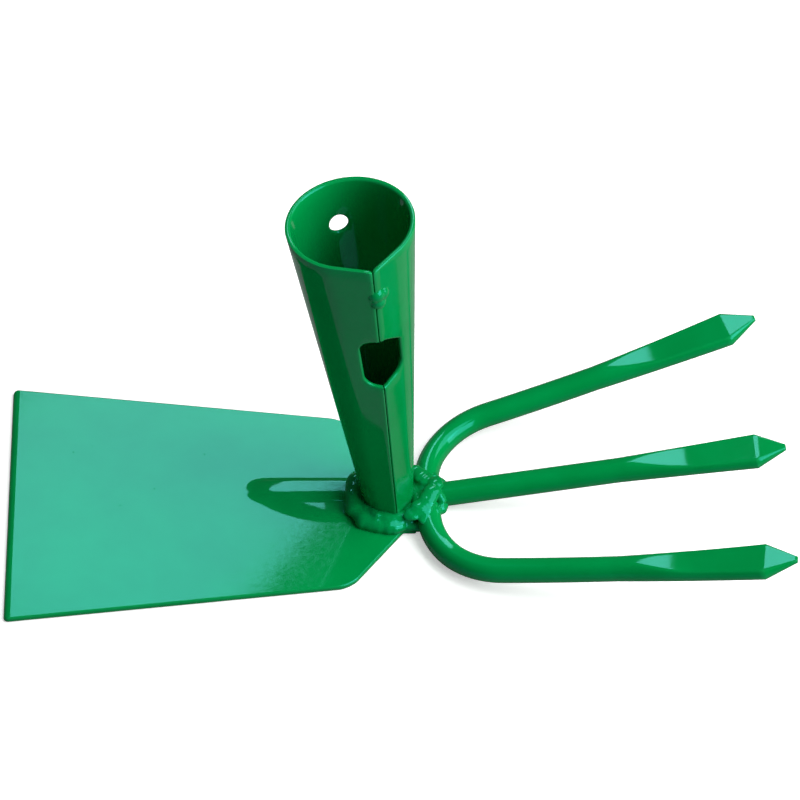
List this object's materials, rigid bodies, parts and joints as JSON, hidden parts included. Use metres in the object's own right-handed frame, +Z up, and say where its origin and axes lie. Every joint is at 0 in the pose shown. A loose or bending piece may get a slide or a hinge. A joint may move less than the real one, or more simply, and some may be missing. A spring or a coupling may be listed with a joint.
{
  "type": "double hoe head",
  "caption": "Welded garden hoe head: a flat hoe blade on one side, a pronged fork on the other and a rolled conical socket for a wooden handle.",
  "frame": {"origin": "middle of the head's box in plan, at the level of the blade's underside, which it rests on", "axes": "+X from the blade towards the prongs, +Z up out of the socket's mouth side, +Y to the left of +X"},
  "size_m": [0.2476, 0.1108, 0.1316],
  "materials": {
    "green_enamel": "gloss enamel on steel",
    "enamelled_weld": "gloss enamel on weld metal"
  },
  "bodies": {
    "root": {"socket": "green_enamel", "blade": "green_enamel", "outer_prongs": "green_enamel", "centre_prong": "green_enamel", "foot_weld": "enamelled_weld", "saddle_weld": "enamelled_weld", "centre_prong_weld": "enamelled_weld", "seam_tack_weld": "enamelled_weld"}
  },
  "joints": []
}
